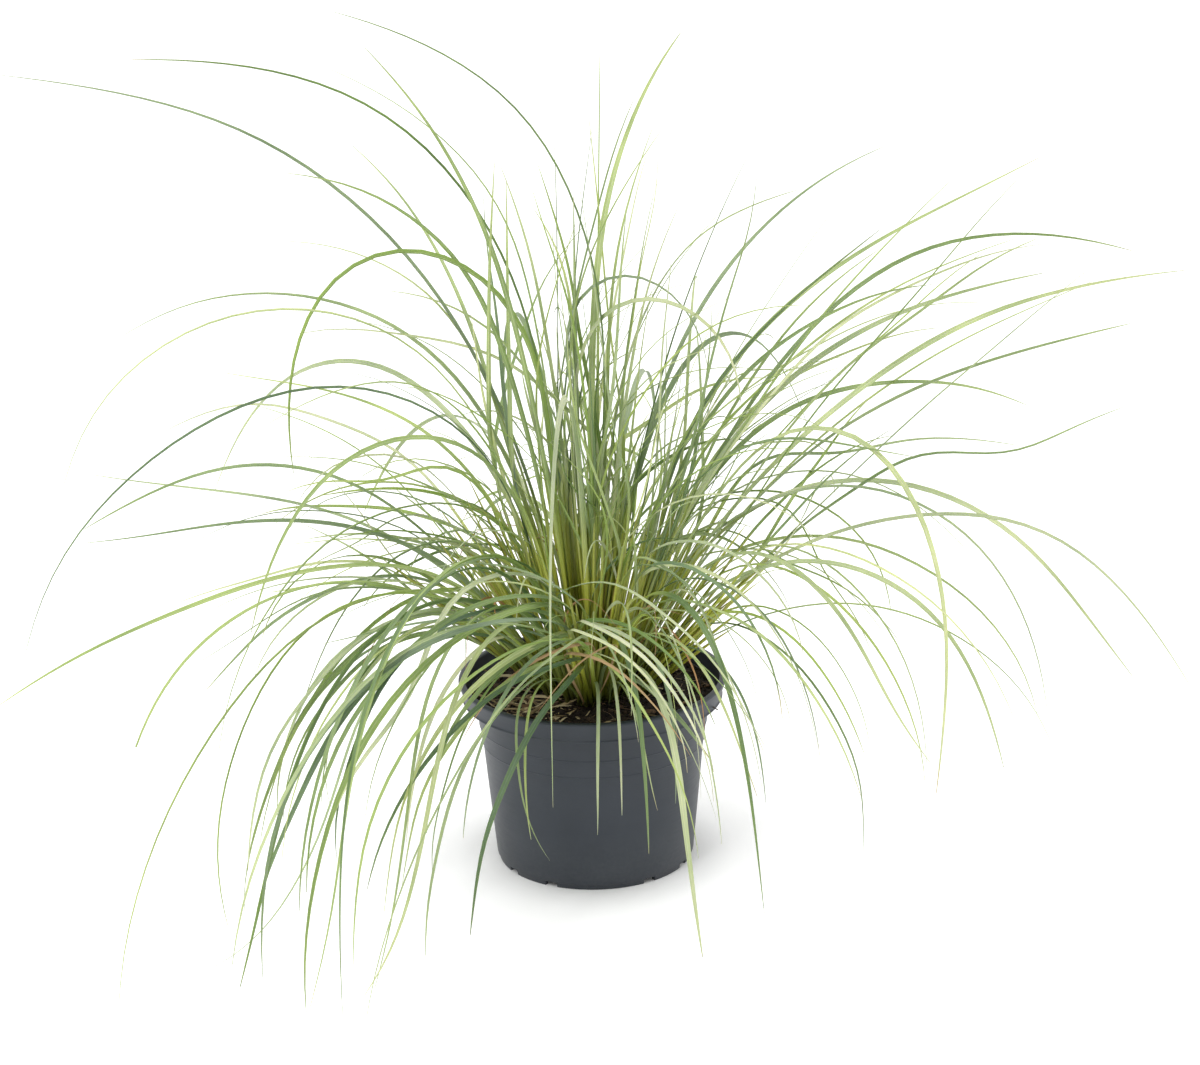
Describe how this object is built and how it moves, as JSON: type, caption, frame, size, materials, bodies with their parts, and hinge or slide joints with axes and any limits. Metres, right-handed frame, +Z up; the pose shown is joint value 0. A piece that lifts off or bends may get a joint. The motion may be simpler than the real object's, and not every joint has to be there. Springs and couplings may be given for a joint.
{
  "type": "potted ornamental grass clump",
  "caption": "Arching ornamental grass clump with sheathed shoots and long folded leaves, growing in a tapered plastic nursery pot filled with dark potting mix.",
  "frame": {"origin": "centre of the pot's underside, on the surface it stands on and on the pot's axis", "axes": "+Z up along the pot's axis, +X along the clump's widest spread, so -Y faces the viewer of the front"},
  "size_m": [0.8263, 0.7361, 0.5949],
  "materials": {
    "pot": "satin anthracite moulded plastic",
    "potting_mix": "matte moist peat and bark",
    "shoot": "satin yellow-olive leaf sheaths",
    "leaf": "satin living grass blade"
  },
  "bodies": {
    "root": {"leaf_back_01": "leaf", "leaf_back_02": "leaf", "leaf_back_03": "leaf", "leaf_back_04": "leaf", "leaf_back_05": "leaf", "leaf_front_01": "leaf", "leaf_front_02": "leaf", "leaf_front_03": "leaf", "leaf_front_04": "leaf", "leaf_front_05": "leaf", "leaf_front_06": "leaf", "leaf_front_07": "leaf", "leaf_front_08": "leaf", "leaf_left_01": "leaf", "leaf_left_02": "leaf", "leaf_left_03": "leaf", "leaf_left_04": "leaf", "leaf_left_05": "leaf", "leaf_left_06": "leaf", "leaf_left_07": "leaf", "leaf_left_08": "leaf", "leaf_left_09": "leaf", "leaf_left_10": "leaf", "leaf_left_11": "leaf", "leaf_left_12": "leaf", "leaf_left_13": "leaf", "leaf_left_14": "leaf", "leaf_left_15": "leaf", "leaf_left_16": "leaf", "leaf_left_17": "leaf", "leaf_right_01": "leaf", "leaf_right_02": "leaf", "leaf_right_03": "leaf", "leaf_right_04": "leaf", "leaf_right_05": "leaf", "leaf_right_06": "leaf", "leaf_right_07": "leaf", "leaf_right_08": "leaf", "leaf_right_09": "leaf", "leaf_right_10": "leaf", "leaf_right_11": "leaf", "leaf_right_12": "leaf", "leaf_right_13": "leaf", "leaf_top_01": "leaf", "leaf_top_02": "leaf", "pot": "pot", "potting_mix": "potting_mix", "shoot_01": "shoot", "shoot_02": "shoot", "shoot_03": "shoot", "shoot_04": "shoot", "shoot_05": "shoot", "shoot_06": "shoot", "shoot_07": "shoot", "shoot_08": "shoot", "shoot_09": "shoot", "shoot_10": "shoot", "shoot_11": "shoot", "shoot_12": "shoot"}
  },
  "joints": []
}
